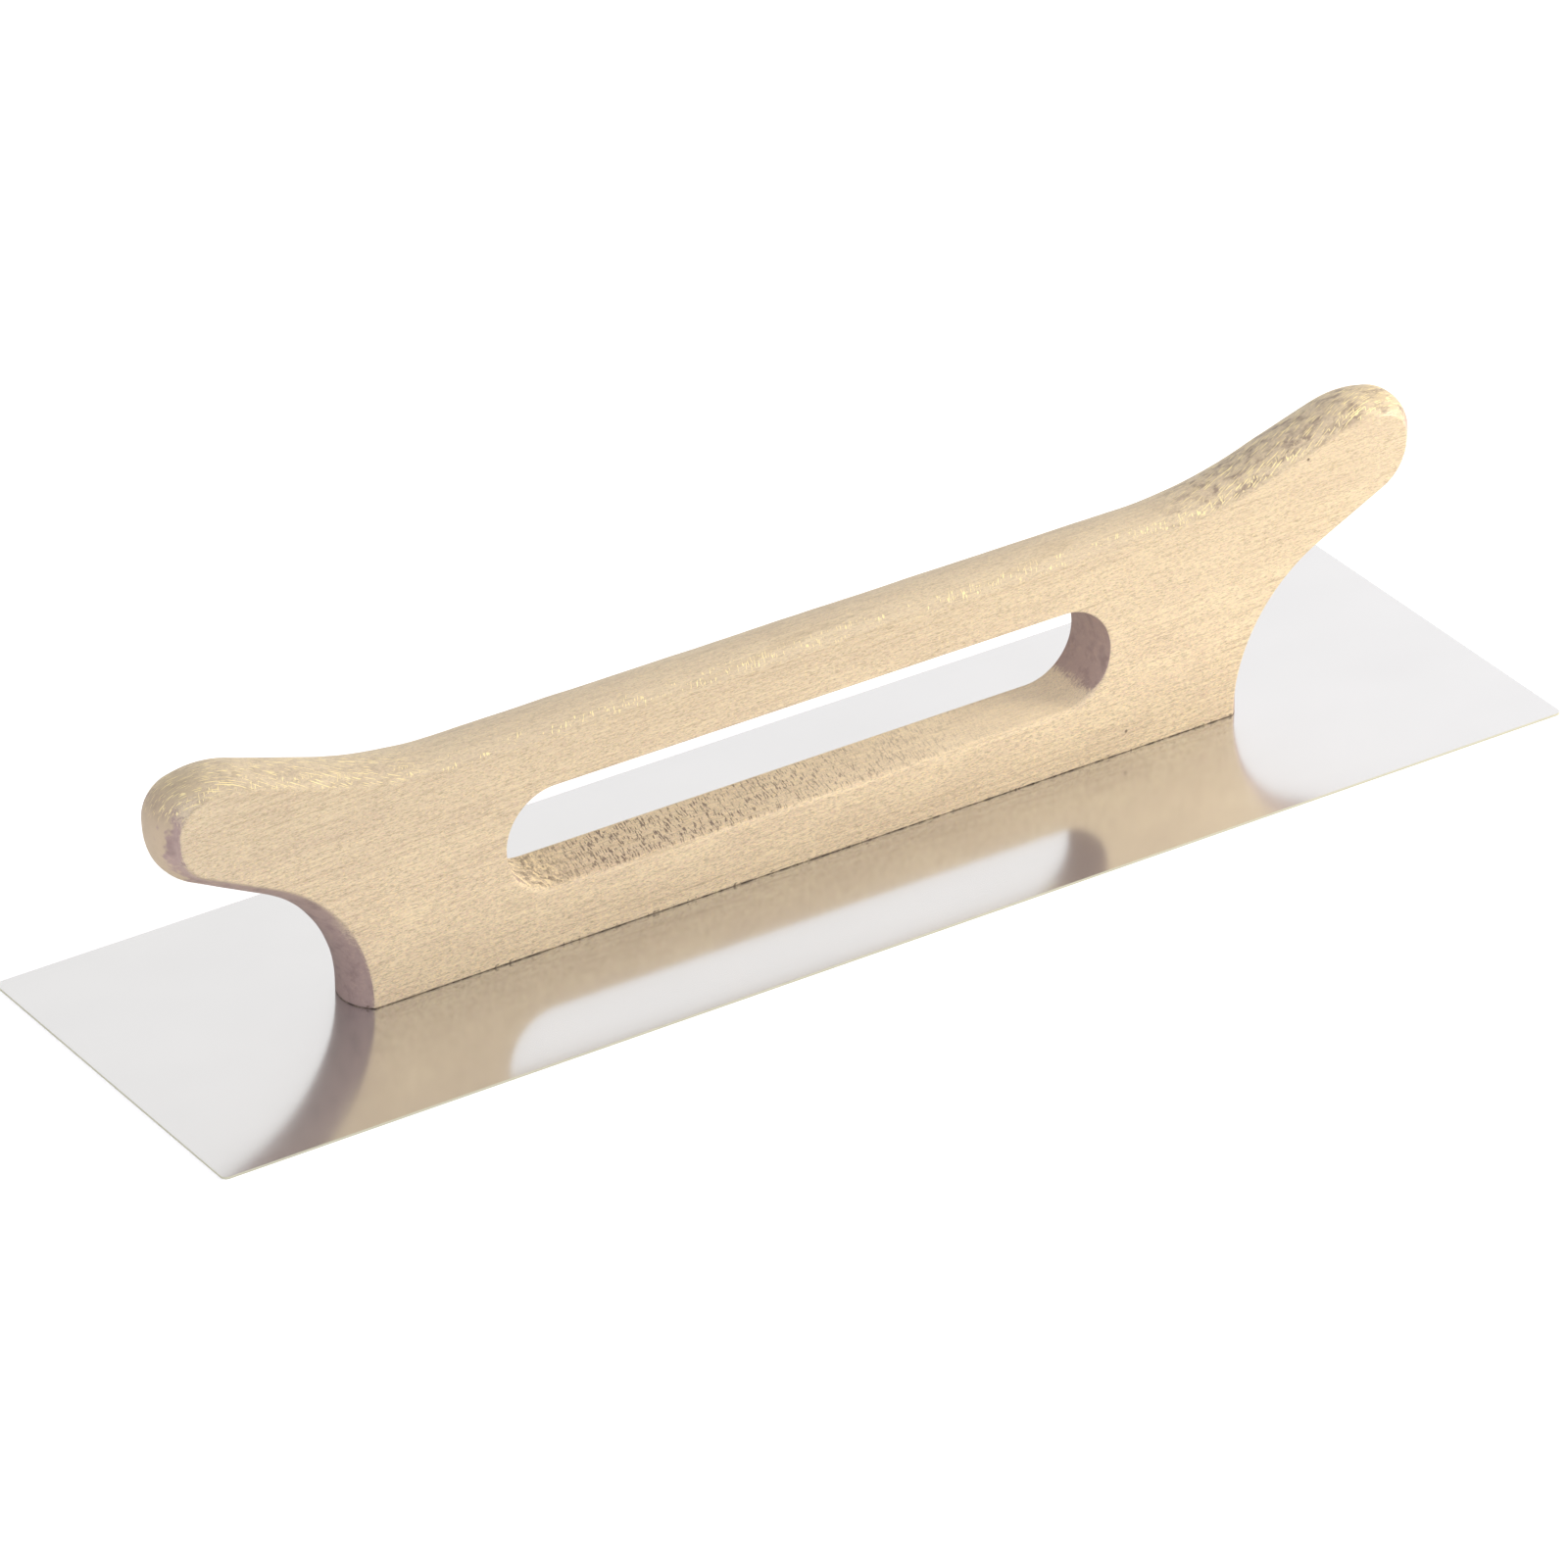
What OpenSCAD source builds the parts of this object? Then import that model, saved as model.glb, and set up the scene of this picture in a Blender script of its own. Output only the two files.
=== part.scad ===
// Finishing trowel with a wide stainless blade and a one-piece wooden handle.
// X runs along the blade, Y across it and Z up. The origin is the centre of the
// blade's underside, which is the working face. Millimetres throughout.

/* [Blade] */
// Length of the blade
blade_l = 480; // [400:10:560]
// Width of the blade
blade_w = 130; // [100:5:150]
// Thickness of the sheet
blade_t = 0.8; // [0.6:0.1:1.0]
// Radius of the blade's corners
blade_corner_r = 2; // [1:0.5:5]

/* [Handle] */
// Thickness of the plank that the handle is cut from
plank_t = 20.8; // [18:0.2:24]
// Length of the handle's foot, where it meets the blade
foot_l = 320; // [300:5:330]
// Height of the rail above the blade, at its crown
rail_h = 76.5; // [74:0.5:80]
// Radius of the convex edge, across the plank
edge_r = 13; // [12.5:0.5:20]
// Rounding of the throat, from the foot out to the horn
throat_r = 51; // [40:1:52]
// Rounding of the horn's tip, on its under side
tip_r = 20; // [12:1:22]
// Rounding of the horn's tip, on its upper side
crown_r = 14; // [8:1:16]
// Rounding of the horn's shoulder, behind the tip
shoulder_r = 24; // [10:1:30]
// Rounding of the sweep from the rail up to the horn
sweep_r = 140; // [60:5:180]

/* [Hand slot] */
// Distance between the centres of the slot's round ends
slot_l = 182.6; // [150:0.2:190]
// Radius of the slot's round ends
slot_r = 17; // [14:0.5:17]
// Height of the slot's middle above the blade
slot_h = 38.3; // [36:0.1:40]

/* [Screws] */
// Number of screws along the foot
screw_count = 6; // [6:1:6]
// Distance from one screw to the next
screw_pitch = 52; // [40:1:54]
// Overall length of a screw
screw_l = 16; // [12:1:18]
// Radius over the thread
thread_r = 1.75; // [1.5:0.05:2]
// Radius of the core, at the root of the thread
core_r = 1.15; // [1:0.05:1.3]
// Distance from one turn of the thread to the next
thread_pitch = 1.6; // [1.2:0.1:2]
// Radius of the screw's head
head_r = 3.4; // [3:0.1:3.6]

/* [Hidden] */

// Air left between neighbouring pieces
gap = 0.05;
// Overshoot of a cutter past the face that it cuts
over = 1;
// Depth of a screw's head below the working face
head_sink = 0.1;
// Radius of the dimple's mouth at the working face, for a 90 degree head
mouth_r = head_r + head_sink + gap;
// Height of the dimple's rim above the working face
dimple_h = blade_t * 2;
// Radial thickness of the sheet along the dimple's 45 degree wall
wall = blade_t * sqrt(2);
// Drilled hole for the threaded part
pilot_r = thread_r + gap;
// Depth of the drilled hole, a little past the end of the screw
pilot_l = screw_l + over;
// Cross recess in a screw's head: width, length and depth of each arm
recess_w = 0.8;
recess_l = 4;
recess_d = 1.2;
// Length of the screw's plain neck and of its point
neck_l = 1;
point_l = 2.5;

// Number of strips across the thickness of the plank
strips = 12;

// Half of the handle's outline at the middle of the plank, as the corners of the
// shape before they are rounded: [x, height above the blade, rounding, steps].
// The foot and throat have as many points as the shoulder and sweep together.
corners = [
    [foot_l / 2, 0, 0, 0],
    [foot_l / 2 + 0.5, 33, throat_r, 9],
    [foot_l / 2 + 63, 63.5, tip_r, 8],
    [foot_l / 2 + 64.5, 89.5, crown_r, 7],
    [foot_l / 2 + 42.5, 94.5, shoulder_r, 3],
    [foot_l / 2 - 15, rail_h, sweep_r, 6],
    [0, rail_h, 0, 0]
];

// Unit vector along v
function unit(v) = v / norm(v);
// Angle of a direction, in degrees
function heading(v) = atan2(v.y, v.x);
// Smallest signed turn from one angle to another
function turn(from, to) = let (d = to - from) d > 180 ? d - 360 : d < -180 ? d + 360 : d;

// Rounding at corner i of a path: a list of [point, outward normal]
function rounding(path, i) =
    let (
        at = [path[i].x, path[i].y],
        back = unit([path[i - 1].x, path[i - 1].y] - at),
        ahead = unit([path[i + 1].x, path[i + 1].y] - at),
        half = acos(back * ahead) / 2,
        r = path[i].z,
        centre = at + unit(back + ahead) * r / sin(half),
        start = heading(at + back * r / tan(half) - centre),
        sweep = turn(start, heading(at + ahead * r / tan(half) - centre)),
        steps = path[i][3],
        side = sign(sweep)
    )
    [for (k = [0 : steps])
        let (a = start + sweep * k / steps, ray = [cos(a), sin(a)])
        [centre + r * ray, side * ray]];

// The right half of the outline, from the foot round the horn to the rail
half_outline = concat(
    [[[corners[0].x, 0], [1, 0]]],
    [for (i = [1 : len(corners) - 2]) each rounding(corners, i)]
);
// The whole outline: the right half, then the left half as its mirror image
outline = concat(
    half_outline,
    [for (i = [len(half_outline) - 1 : -1 : 0])
        let (p = half_outline[i]) [[-p[0].x, p[0].y], [-p[1].x, p[1].y]]]
);

// How far the convex edge falls back from the outline at y across the plank
function edge_inset(y) = edge_r - sqrt(edge_r * edge_r - y * y);
// Half the angle that the convex edge turns through
edge_turn = asin(plank_t / 2 / edge_r);
// Places across the plank, from the front face to the back face
stations = [for (k = [0 : strips]) edge_r * sin(edge_turn * (2 * k / strips - 1))];
// One closed ring of the handle's skin at each station
rings = [for (y = stations)
    [for (p = outline)
        let (q = p[0] - edge_inset(y) * p[1]) [q.x, y, q.y + blade_t]]];

// Screw positions along the foot
screw_xs = [for (i = [0 : screw_count - 1]) (i - (screw_count - 1) / 2) * screw_pitch];

// Flat end of the skin. The middle is one quad, and each half is a row of quads
// that follows the horn, with one long side on the foot, the throat and the under
// side of the horn, and the other on the rail, the sweep and the top of the horn.
function end_quads(m) = concat(
    [[0, m - 1, m, 2 * m - 1]],
    [for (i = [0 : floor(m / 2) - 1]) [i, i + 1, m - 2 - i, m - 1 - i]],
    [for (i = [0 : floor(m / 2) - 1]) [2 * m - 1 - i, m + i, m + 1 + i, 2 * m - 2 - i]]
);

// A closed skin through equal rings of points, each made of two halves of m points
module skin(rings, m) {
    n = 2 * m;
    last = len(rings) - 1;
    polyhedron(
        points = [for (ring = rings) each ring],
        faces = concat(
            [for (quad = end_quads(m)) [for (k = [3 : -1 : 0]) quad[k]]],
            [for (s = [0 : last - 1], i = [0 : n - 1])
                let (a = s * n + i, b = s * n + (i + 1) % n) each [[a, b, a + n], [b, b + n, a + n]]],
            [for (quad = end_quads(m)) [for (k = [0 : 3]) last * n + quad[k]]]
        )
    );
}

// Hand slot: a straight cut through the plank with two round ends
module hand_slot() {
    translate([0, 0, blade_t + slot_h])
    rotate([90, 0, 0])
    linear_extrude(height = plank_t + 2 * over, center = true)
    union() {
        square([slot_l, 2 * slot_r], center = true);
        for (side = [-1, 1])
            translate([side * slot_l / 2, 0])
            circle(r = slot_r, $fn = 96);
    }
}

// Cone of the dimple, as wide as mouth_r plus extra at the working face
module dimple_cone(extra, top) {
    translate([0, 0, -over])
    cylinder(h = top + over, r1 = mouth_r + extra + over, r2 = mouth_r + extra - top, $fn = 64);
}

// Sheet steel blade, with a dimple pressed up into the wood for each screw
module blade() {
    color("gainsboro")
    difference() {
        union() {
            linear_extrude(height = blade_t)
            union() {
                square([blade_l - 2 * blade_corner_r, blade_w], center = true);
                square([blade_l, blade_w - 2 * blade_corner_r], center = true);
                for (sx = [-1, 1], sy = [-1, 1])
                    translate([sx * (blade_l / 2 - blade_corner_r), sy * (blade_w / 2 - blade_corner_r)])
                    circle(r = blade_corner_r, $fn = 48);
            }
            for (x = screw_xs)
                translate([x, 0, blade_t / 2])
                cylinder(
                    h = dimple_h - blade_t / 2,
                    r1 = mouth_r + wall - blade_t / 2,
                    r2 = mouth_r + wall - dimple_h,
                    $fn = 64
                );
        }
        for (x = screw_xs)
            translate([x, 0, 0])
            dimple_cone(0, dimple_h + over / 10);
        for (x = screw_xs)
            translate([x, 0, 0])
            cylinder(h = dimple_h + over, r = pilot_r, $fn = 64);
    }
}

// Wooden handle: foot, hand slot, rail and two horns cut from one plank
module handle() {
    color("burlywood")
    difference() {
        skin(rings, len(half_outline));
        hand_slot();
        for (x = screw_xs)
            translate([x, 0, 0])
            union() {
                dimple_cone(wall + gap, dimple_h + gap);
                cylinder(h = pilot_l, r = pilot_r, $fn = 64);
            }
    }
}

// Profile of a countersunk wood screw, from the axis at the head to the point
function screw_profile() =
    let (
        head_h = head_r - core_r,
        thread_from = head_sink + head_h + neck_l,
        turns = floor((screw_l - point_l - thread_from) / thread_pitch)
    )
    concat(
        [[0, head_sink], [head_r, head_sink], [core_r, head_sink + head_h], [core_r, thread_from]],
        [for (i = [0 : turns - 1])
            let (z = thread_from + i * thread_pitch)
            each [[thread_r, z + thread_pitch / 2], [core_r, z + thread_pitch]]],
        [[0, screw_l]]
    );

// Countersunk wood screw with a cross recess, driven up through the blade
module screw(i) {
    color("silver")
    translate([screw_xs[i - 1], 0, 0])
    difference() {
        rotate_extrude($fn = 64)
        polygon(screw_profile());
        for (a = [0, 90])
            rotate([0, 0, a])
            translate([-recess_l / 2, -recess_w / 2, -over])
            cube([recess_l, recess_w, head_sink + recess_d + over]);
    }
}

blade();
handle();
for (i = [1 : screw_count])
    screw(i);
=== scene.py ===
# %% [markdown]
# # A finishing trowel with a wooden handle
# A wide sheet of polished stainless steel carries one plank of beech, and six
# hidden screws hold them together. The sheet and the screws are true in the CAD
# model already, so they stay and get a finish. The handle is carved again here,
# with the softened edges and cutter marks that a workshop leaves on wood.

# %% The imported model, loaded as a fixed frame
from math import asin, ceil, copysign, cos, pi, radians, sin, sqrt, tan
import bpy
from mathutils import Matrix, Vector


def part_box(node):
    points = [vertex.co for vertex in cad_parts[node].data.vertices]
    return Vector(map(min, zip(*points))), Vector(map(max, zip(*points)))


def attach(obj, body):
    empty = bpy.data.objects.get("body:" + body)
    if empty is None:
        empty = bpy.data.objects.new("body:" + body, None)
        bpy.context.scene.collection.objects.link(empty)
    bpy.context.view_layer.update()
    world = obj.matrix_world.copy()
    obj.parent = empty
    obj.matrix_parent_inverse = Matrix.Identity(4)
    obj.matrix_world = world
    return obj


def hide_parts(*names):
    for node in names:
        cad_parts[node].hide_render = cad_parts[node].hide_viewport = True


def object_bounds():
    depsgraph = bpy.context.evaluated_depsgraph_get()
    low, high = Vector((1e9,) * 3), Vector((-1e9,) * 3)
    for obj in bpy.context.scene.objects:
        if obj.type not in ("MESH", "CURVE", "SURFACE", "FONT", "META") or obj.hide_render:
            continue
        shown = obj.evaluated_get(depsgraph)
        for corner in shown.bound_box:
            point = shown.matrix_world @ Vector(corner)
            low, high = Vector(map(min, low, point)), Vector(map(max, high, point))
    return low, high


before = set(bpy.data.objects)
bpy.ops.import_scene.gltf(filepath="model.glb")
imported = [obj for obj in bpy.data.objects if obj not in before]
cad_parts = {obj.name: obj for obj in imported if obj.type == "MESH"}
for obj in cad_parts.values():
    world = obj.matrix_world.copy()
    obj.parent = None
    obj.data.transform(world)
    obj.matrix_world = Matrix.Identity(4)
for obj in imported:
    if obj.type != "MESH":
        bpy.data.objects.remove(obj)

from types import SimpleNamespace

import bmesh
import bpy
from mathutils import Matrix, Vector, noise

CAD_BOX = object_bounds()
# Millimetres to metres
MM = 0.001

blade_low, blade_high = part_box("blade")
handle_low, handle_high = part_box("handle")
screws = sorted(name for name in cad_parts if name.startswith("screw_"))
print("CAD box", [tuple(round(x / MM, 2) for x in corner) for corner in CAD_BOX])

# %% [markdown]
# ## Camera
# A long lens from far away keeps the blade's edges almost parallel, as in a
# catalogue. The camera is turned about the object's own middle, so its place
# follows from two angles and a distance, and nothing has to be tracked.

# %% Camera
# Turned away from the front, raised above the floor, and leaning a little
AZIMUTH = radians(33.74)
ELEVATION = radians(30.17)
ROLL = radians(-0.14)
# How far away the camera stands and how far it can see, in metres
DISTANCE = 3.2923
CLIP_END = 100
# The lens, in millimetres as on a real camera
FOCAL_LENGTH = 253.3
SENSOR = 36
# The middle of the picture lies a little left of the object's middle, and below it
AIM_RIGHT = -3.0 * MM
AIM_UP = -21.9 * MM


def add_camera(low, high):
    """Stands the camera off from the middle of the box and rolls it about its own axis."""
    ahead = Vector((sin(AZIMUTH) * cos(ELEVATION), cos(AZIMUTH) * cos(ELEVATION), -sin(ELEVATION)))
    level = Vector((cos(AZIMUTH), -sin(AZIMUTH), 0))
    above = level.cross(ahead)
    right = cos(ROLL) * level + sin(ROLL) * above
    up = cos(ROLL) * above - sin(ROLL) * level
    place = (low + high) / 2 + AIM_RIGHT * right + AIM_UP * up - DISTANCE * ahead
    data = bpy.data.cameras.new("camera")
    data.lens = FOCAL_LENGTH
    data.sensor_width = SENSOR
    data.clip_end = CLIP_END
    camera = bpy.data.objects.new("camera", data)
    turn = Matrix((right, up, -ahead)).transposed()
    camera.matrix_world = Matrix.Translation(place) @ turn.to_4x4()
    bpy.context.scene.collection.objects.link(camera)
    bpy.context.scene.camera = camera
    return camera


camera = add_camera(*CAD_BOX)
print("camera at", tuple(round(x, 3) for x in camera.matrix_world.translation))

# %% [markdown]
# ## Handle: the outline
# The real handle is sawn from one plank along a drawn outline: a straight foot,
# a throat that swings out to each horn, a blunt tip, and a sweep down to the
# rail. One half is enough. Each corner is a single point spun about the centre
# of its arc, so the arcs are true, and a mirror gives the other half.

# %% Corners of one half
# All sizes of the handle are in millimetres until it is finished.
# Each corner: place along the blade, height above the sheet, radius, steps of the arc
CORNERS = [
    (160.5, 33, 51, 26),
    (223, 63.5, 20, 16),
    (224.5, 89.5, 14, 16),
    (202.5, 94.5, 34, 8),
    (145, 76.5, 140, 18),
]
FOOT_HALF = 160
RAIL_HEIGHT = 76.5
# How far the foot's end leans in for each millimetre down
FOOT_LEAN = 0.5 / 33
# The outline runs on below the sheet's face, and the foot is sawn off square later
OVERRUN = 8
# The dimples under the screws are the blade's highest places, one sheet above its face
FOOT_Z = blade_high.z / 2 / MM


def outline_point(x, height):
    """A point in the plank's middle plane."""
    return Vector((x, 0, FOOT_Z + height))


print("outline:", len(CORNERS), "corners on each half, foot", 2 * FOOT_HALF, "mm long")


# %% Outline, with an arc at each corner
# Longest edge that is left along the outline
EDGE_STEP = 2.6
# Points closer than this are merged
TINY = 0.004


def add_arc(bm, before, corner, after, radius, steps):
    """Rounds one corner: a point on the incoming line, spun about the arc's centre."""
    back, ahead = (before - corner).normalized(), (after - corner).normalized()
    half = back.angle(ahead) / 2
    centre = corner + (back + ahead).normalized() * radius / sin(half)
    first = corner + back * radius / tan(half)
    last = corner + ahead * radius / tan(half)
    side = (first - centre).cross(last - centre).y
    start = bm.verts.new(first)
    spun = bmesh.ops.spin(bm, geom=[start], cent=centre, axis=(0, 1, 0),
                          angle=copysign(pi - 2 * half, side), steps=steps, use_duplicate=False)
    end = next(v for v in spun["geom_last"] if isinstance(v, bmesh.types.BMVert))
    return start, end


def split_long_edges(bm, step):
    """Divides each long straight edge into equal short ones."""
    while long := [e for e in bm.edges if e.calc_length() > step]:
        cuts = ceil(long[0].calc_length() / step) - 1
        bmesh.ops.subdivide_edges(bm, edges=long[:1], cuts=cuts)


def add_outline(bm):
    """The handle's whole outline as one closed ring of edges in the middle plane."""
    path = [outline_point(FOOT_HALF - OVERRUN * FOOT_LEAN, -OVERRUN)]
    path += [outline_point(x, height) for x, height, _, _ in CORNERS]
    path += [outline_point(0, RAIL_HEIGHT)]
    middle = bm.verts.new(outline_point(0, -OVERRUN))
    end = bm.verts.new(path[0])
    bm.edges.new((middle, end))
    for i, (_, _, radius, steps) in enumerate(CORNERS):
        start, last = add_arc(bm, path[i], path[i + 1], path[i + 2], radius, steps)
        bm.edges.new((end, start))
        end = last
    bm.edges.new((end, bm.verts.new(path[-1])))
    split_long_edges(bm, EDGE_STEP)
    half = bm.verts[:] + bm.edges[:]
    bmesh.ops.mirror(bm, geom=half, axis="X", merge_dist=TINY)


print("outline: arcs of", [radius for _, _, radius, _ in CORNERS], "mm")

# %% [markdown]
# ## Handle: the convex edge
# A cutter with a hollow profile has rounded the edge all the way round, and
# sandpaper has softened the ridge where that round meets the flat face. The
# same section runs round the whole outline, so it is worked out once, as a list
# of steps: two arcs that meet smoothly, and a narrow flat strip on the face.

# %% Section of the convex edge
PLANK_HALF = handle_high.y / MM
# Rounding across the plank, and the sanded rounding where it meets the face
EDGE_RADIUS = 13
RIDGE_RADIUS = 0.9
EDGE_STEPS = 9
RIDGE_STEPS = 4
# A narrow flat strip next to a rounding keeps the wide face beside it flat in the light
STRIP = 0.35


def edge_section():
    """Steps of the section from the middle plane out: how far in, and how far forward."""
    ridge_out = PLANK_HALF - RIDGE_RADIUS
    ridge_in = EDGE_RADIUS - sqrt((EDGE_RADIUS - RIDGE_RADIUS) ** 2 - ridge_out ** 2)
    meet = asin(ridge_out / (EDGE_RADIUS - RIDGE_RADIUS))
    section = []
    for k in range(EDGE_STEPS + 1):
        a = meet * k / EDGE_STEPS
        section.append((EDGE_RADIUS * (1 - cos(a)), EDGE_RADIUS * sin(a)))
    for k in range(1, RIDGE_STEPS + 1):
        a = meet + (pi / 2 - meet) * k / RIDGE_STEPS
        section.append((ridge_in - RIDGE_RADIUS * cos(a), ridge_out + RIDGE_RADIUS * sin(a)))
    section.append((ridge_in + STRIP, PLANK_HALF))
    return section


print("section:", [(round(i, 2), round(y, 2)) for i, y in edge_section()])

# %% [markdown]
# ## Handle: the section laid round the outline
# Insetting a face again and again could follow the section, but its sides cross
# in the tight bends of the horns. Here each point of the outline keeps its own
# way out of the wood, and the ring of edges is extruded step by step, each time a
# little inwards and a little forwards.

# %% Convex edge, extruded from the outline
def store_outward(bm, face):
    """Keeps at each point the way out of the wood, so long that both its edges move by one."""
    outward = bm.verts.layers.float_vector.new("outward")
    for corner in face.loops:
        here = corner.vert.co
        before = (here - corner.link_loop_prev.vert.co).cross(face.normal).normalized()
        after = (corner.link_loop_next.vert.co - here).cross(face.normal).normalized()
        middle = (before + after).normalized()
        corner.vert[outward] = middle / middle.dot(before)
    return outward


def add_convex_edge(bm, side):
    """Extrudes the outline's edges along the section, and gives the ring that they end in."""
    add_outline(bm)
    face = bmesh.ops.contextual_create(bm, geom=bm.edges[:])["faces"][0]
    face.normal_update()
    outward = store_outward(bm, face)
    ring = face.edges[:]
    bmesh.ops.delete(bm, geom=[face], context="FACES_ONLY")
    section = edge_section()
    for (inner, near), (outer, far) in zip(section, section[1:]):
        made = bmesh.ops.extrude_edge_only(bm, edges=ring)["geom"]
        ring = [g for g in made if isinstance(g, bmesh.types.BMEdge)]
        for v in [g for g in made if isinstance(g, bmesh.types.BMVert)]:
            v.co -= v[outward] * (outer - inner)
            v.co.y = side * far
    return ring


print("convex edge: radius", EDGE_RADIUS, "mm, in", EDGE_STEPS + RIDGE_STEPS + 1, "steps")

# %% [markdown]
# ## Handle: the hand slot
# A router has cut the slot with two round ends. The lower lip at the front,
# where the fingers pull, is eased the most, and the others are only broken with
# a touch of sandpaper. One function says how far a point is from the slot's
# middle line, and one gives the lip's radius there, so the lip can change
# smoothly all the way round.

# %% Slot's place and lips
SLOT_RADIUS = 17
# Half the distance between the centres of the round ends, and their height
SLOT_HALF = 91.3
SLOT_Z = FOOT_Z + 38.3
# Radius of the lip where it is only broken, and where it is eased for the fingers
LIP_CRISP = 0.45
LIP_FRONT_LOW = 1.8
# The easing starts and is full where the slot's wall faces up by these amounts
LIP_EASE = (0.1, 0.95)


def from_slot(point):
    """Direction and distance of a point from the line between the slot's end centres."""
    near = Vector((max(-SLOT_HALF, min(SLOT_HALF, point.x)), 0, SLOT_Z))
    away = Vector((point.x, 0, point.z)) - near
    return away.normalized(), away.length


def smooth_step(low, high, value):
    """0 below low, 1 above high, and a smooth rise between them."""
    t = max(0, min(1, (value - low) / (high - low)))
    return t * t * (3 - 2 * t)


def lip_radius(outward, side):
    """Rounding of the slot's lip: wide at the front below, and crisp elsewhere."""
    ease = smooth_step(*LIP_EASE, -outward.z) if side < 0 else 0
    return LIP_CRISP + (LIP_FRONT_LOW - LIP_CRISP) * ease


print("slot:", 2 * (SLOT_HALF + SLOT_RADIUS), "mm long,", 2 * SLOT_RADIUS, "mm high")

# %% [markdown]
# ## Handle: the slot's wall
# Cutting the slot out with a boolean would leave long thin faces. So it starts as
# a ring in the middle plane, made of two half-turn spins and two straight runs,
# and its edges are extruded towards each face. The rings are close together,
# because the cutter's ripples are real shape here.

# %% Slot's wall
# Length of one edge along the straight runs, and steps of a round end, the wall and the lip
SLOT_STEP = 0.9
SLOT_END_STEPS = 56
WALL_STEPS = 12
LIP_STEPS = 5


def slot_section():
    """Steps from the middle plane out: share of the wall, and turn round the lip (None past it)."""
    wall = [(k / WALL_STEPS, 0) for k in range(1, WALL_STEPS + 1)]
    lip = [(1, pi / 2 * k / LIP_STEPS) for k in range(1, LIP_STEPS + 1)]
    return wall + lip + [(1, None)]


def add_slot_half(bm, side):
    """Half of the slot's wall, from the middle plane to one face, and the ring it ends in."""
    before = set(bm.edges)
    ends = []
    for sx in (1, -1):
        start = bm.verts.new((sx * SLOT_HALF, 0, SLOT_Z + sx * SLOT_RADIUS))
        spun = bmesh.ops.spin(bm, geom=[start], cent=(sx * SLOT_HALF, 0, SLOT_Z), axis=(0, 1, 0),
                              angle=pi, steps=SLOT_END_STEPS, use_duplicate=False)
        last = next(v for v in spun["geom_last"] if isinstance(v, bmesh.types.BMVert))
        ends.append((start, last))
    runs = [bm.edges.new((end[1], start[0])) for end, start in (ends, ends[::-1])]
    bmesh.ops.subdivide_edges(bm, edges=runs, cuts=round(2 * SLOT_HALF / SLOT_STEP))
    ring = [e for e in bm.edges if e not in before]
    for share, a in slot_section():
        made = bmesh.ops.extrude_edge_only(bm, edges=ring)["geom"]
        ring = [g for g in made if isinstance(g, bmesh.types.BMEdge)]
        for v in [g for g in made if isinstance(g, bmesh.types.BMVert)]:
            outward, distance = from_slot(v.co)
            lip = lip_radius(outward, side)
            wall = PLANK_HALF - lip
            if a is None:
                v.co += outward * STRIP
                v.co.y = side * PLANK_HALF
            else:
                v.co += outward * (SLOT_RADIUS + lip * (1 - cos(a)) - distance)
                v.co.y = side * (wall * share + lip * sin(a))
    return ring


print("slot's wall:", len(slot_section()), "rings on each side")

# %% [markdown]
# ## Handle: the foot
# The foot sits flat on the sheet, but its rim is never perfect: sandpaper has
# dubbed it over, and the thin dark line where wood meets steel wavers. A bevel
# would be too even. So the plank is sawn off a hair too high, and the open rim is
# drawn down and in, with small splinters left on it.

# %% Foot
# Size of the dubbed-over rim, and how many steps draw it down
RIM_HEIGHT = 0.5
RIM_INSET = 0.45
RIM_STEPS = 2
# Small splinters lift the rim here and there: how far apart they are, and how high they go
NICK_LENGTH = 1.7
NICK_HEIGHT = 0.15


def saw_foot(bm):
    """Cuts the overrun away, and draws the open rim down to the sheet."""
    bmesh.ops.bisect_plane(bm, geom=bm.verts[:] + bm.edges[:] + bm.faces[:],
                           plane_co=(0, 0, FOOT_Z + RIM_HEIGHT), plane_no=(0, 0, 1),
                           clear_inner=True)
    rim = [e for e in bm.edges if e.is_boundary]
    turns = [pi / 2 * k / RIM_STEPS for k in range(RIM_STEPS + 1)]
    for before, turn in zip(turns, turns[1:]):
        made = bmesh.ops.extrude_edge_only(bm, edges=rim)["geom"]
        rim = [g for g in made if isinstance(g, bmesh.types.BMEdge)]
        inward = RIM_INSET * (cos(before) - cos(turn))
        for v in [g for g in made if isinstance(g, bmesh.types.BMVert)]:
            v.co.x -= copysign(inward, v.co.x)
            v.co.y -= copysign(inward, v.co.y) if abs(v.co.y) > inward else v.co.y
            nick = NICK_HEIGHT * max(0, noise.noise(v.co / NICK_LENGTH)) if turn < pi / 2 else 0
            v.co.z = FOOT_Z + RIM_HEIGHT * (1 - sin(turn)) + nick
    return rim


print("foot: sawn", RIM_HEIGHT, "mm above the sheet and drawn down in", RIM_STEPS, "steps")

# %% [markdown]
# ## Handle: the screw holes
# Each screw pulls a dimple of the sheet up into the foot, so each hole is
# countersunk to clear the dimple and then drilled. The holes are extruded from
# circles, and one fill closes the foot between its rim and all their mouths.

# %% Screw holes
# Rings of one hole as radius and height: round the sheet's dimple, its end, the drilled hole
HOLE = [(3.93, 0.8), (3.08, 1.65), (1.8, 1.65), (1.8, 17)]
HOLE_SEGMENTS = 32


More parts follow.
